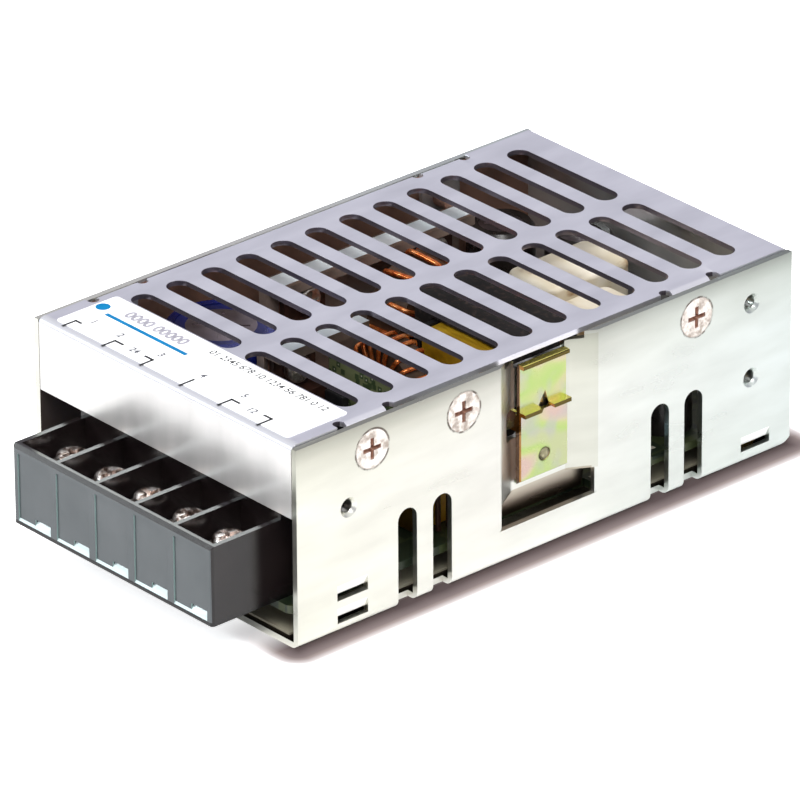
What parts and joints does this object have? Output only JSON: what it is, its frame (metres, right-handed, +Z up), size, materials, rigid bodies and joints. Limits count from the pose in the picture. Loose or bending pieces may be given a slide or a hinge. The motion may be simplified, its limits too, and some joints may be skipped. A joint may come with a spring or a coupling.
{
  "type": "dc-dc converter",
  "caption": "Slotted sheet-metal case with an open circuit board inside, a barrier terminal block at the front and a spring clip for a mounting rail in its side.",
  "frame": {"origin": "middle of the underside of the case, which is 120 mm long and 72 mm wide", "axes": "+Z up, -Y towards the terminals along the length, +X towards the side with the rail clip"},
  "size_m": [0.072, 0.1346, 0.0401],
  "materials": {
    "case_metal": "satin sheet metal",
    "cover_metal": "satin sheet metal, slightly blue",
    "label_film": "white matt label",
    "plated_screw": "bright nickel plate",
    "clip_steel": "yellow passivated spring steel",
    "rivet_metal": "plated steel",
    "insulating_film": "thin translucent film",
    "brass": "turned brass",
    "board_laminate": "brown board laminate",
    "tinned_brass": "tin plate",
    "black_moulding": "black glossy moulding",
    "heatsink_aluminium": "bare aluminium sheet",
    "transistor_plastic": "black epoxy",
    "pad_rubber": "grey heat conducting pad",
    "ferrite": "dark grey ferrite",
    "bobbin_plastic": "black moulding",
    "winding_tape": "mustard yellow tape",
    "ring_core": "coated powder core",
    "copper_wire": "enamelled copper wire",
    "choke_base_plastic": "black moulding",
    "can_aluminium": "bare aluminium can",
    "blue_sleeve": "dark blue shrunk sleeve",
    "black_sleeve": "black shrunk sleeve",
    "yellow_box": "yellow box capacitor",
    "cream_box": "cream taped capacitor",
    "blue_disc": "blue dipped disc",
    "control_laminate": "green board laminate",
    "chip_epoxy": "black epoxy",
    "fuse_glass": "clear glass tube",
    "fuse_metal": "nickel plated cap",
    "resistor_body": "pale blue lacquer"
  },
  "bodies": {
    "root": {"chassis": "case_metal", "top_cover": "cover_metal", "cover_label": "label_film", "cover_screws": "plated_screw", "heatsink_wall_screw": "plated_screw", "rail_clip": "clip_steel", "clip_rivet": "rivet_metal", "insulating_sheet": "insulating_film", "board_standoffs": "brass", "board_screws": "plated_screw", "circuit_board": "board_laminate", "terminal_plates": "tinned_brass", "terminal_block": "black_moulding", "clamp_washers": "plated_screw", "terminal_screws": "plated_screw", "output_heatsink": "heatsink_aluminium", "input_heatsink": "heatsink_aluminium", "wall_heatsink": "heatsink_aluminium", "output_rectifiers": "transistor_plastic", "switching_transistors": "transistor_plastic", "insulating_pads": "pad_rubber", "transistor_screws": "plated_screw", "clamp_nut": "plated_screw", "transformer_core": "ferrite", "transformer_bobbin": "bobbin_plastic", "transformer_winding": "winding_tape", "output_choke_core": "ring_core", "output_choke_winding": "copper_wire", "input_choke_core": "ring_core", "input_choke_winding": "copper_wire", "choke_bases": "choke_base_plastic", "main_capacitor_cans": "can_aluminium", "main_capacitor_sleeves": "blue_sleeve", "output_capacitor_cans": "can_aluminium", "output_capacitor_sleeves": "black_sleeve", "input_capacitor_cans": "can_aluminium", "input_capacitor_sleeves": "black_sleeve", "film_capacitor": "yellow_box", "output_film_capacitors": "cream_box", "safety_capacitors": "blue_disc", "control_board": "control_laminate", "control_chips": "chip_epoxy", "optocoupler": "chip_epoxy", "fuse_body": "fuse_glass", "fuse_caps": "fuse_metal", "fuse_clips": "tinned_brass", "power_resistors": "resistor_body"}
  },
  "joints": []
}
